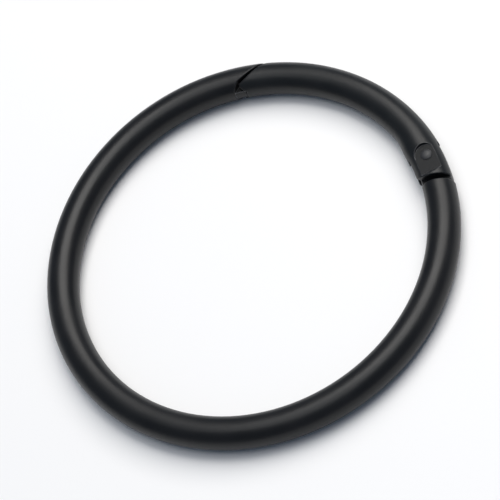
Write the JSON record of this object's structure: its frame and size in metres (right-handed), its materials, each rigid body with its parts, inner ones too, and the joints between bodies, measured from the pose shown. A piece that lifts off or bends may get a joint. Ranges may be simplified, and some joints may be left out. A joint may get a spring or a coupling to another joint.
{
  "type": "spring gate ring",
  "caption": "Round snap ring of thick coated wire with a riveted gate that a hidden spring holds shut; the gate opens inwards to let a key, strap or loop on.",
  "frame": {"origin": "centre of the ring, in the middle of the wire's thickness", "axes": "+Z along the ring's axis; the hinge rivet stands on the +X axis and the gate runs anticlockwise from it, as seen from +Z, so +Y is roughly towards the closing joint"},
  "size_m": [0.059, 0.059, 0.0044],
  "materials": {
    "black_coat": "satin black coating on die-cast zinc alloy",
    "gate_coat": "satin black coating on die-cast zinc alloy",
    "rivet_coat": "black coated steel, domes rubbed slightly brighter",
    "plunger_steel": "turned steel, lightly oiled",
    "spring_steel": "drawn spring steel, lightly oiled"
  },
  "bodies": {
    "body": {"ring_body": "black_coat"},
    "gate": {"gate": "gate_coat", "hinge_rivet": "rivet_coat", "gate_spring": "spring_steel"},
    "plunger": {"spring_plunger": "plunger_steel"}
  },
  "joints": [
    {"name": "gate_hinge", "type": "hinge", "parent": "body", "child": "gate", "pos_m": [0.02725, 0, 0], "axis": [0, 0, 1], "range_deg": [0, 40], "stiffness_Nm_per_rad": 0.0086, "springref_deg": -74.48},
    {"name": "plunger_slide", "type": "slide", "parent": "gate", "child": "plunger", "axis": [0, 1, 0], "range_m": [0, 0.00065], "deforming": ["gate_spring"]}
  ],
  "couplings": [
    {"joint": "plunger_slide", "follows": "gate_hinge", "m_per_rad": 0.0009}
  ]
}
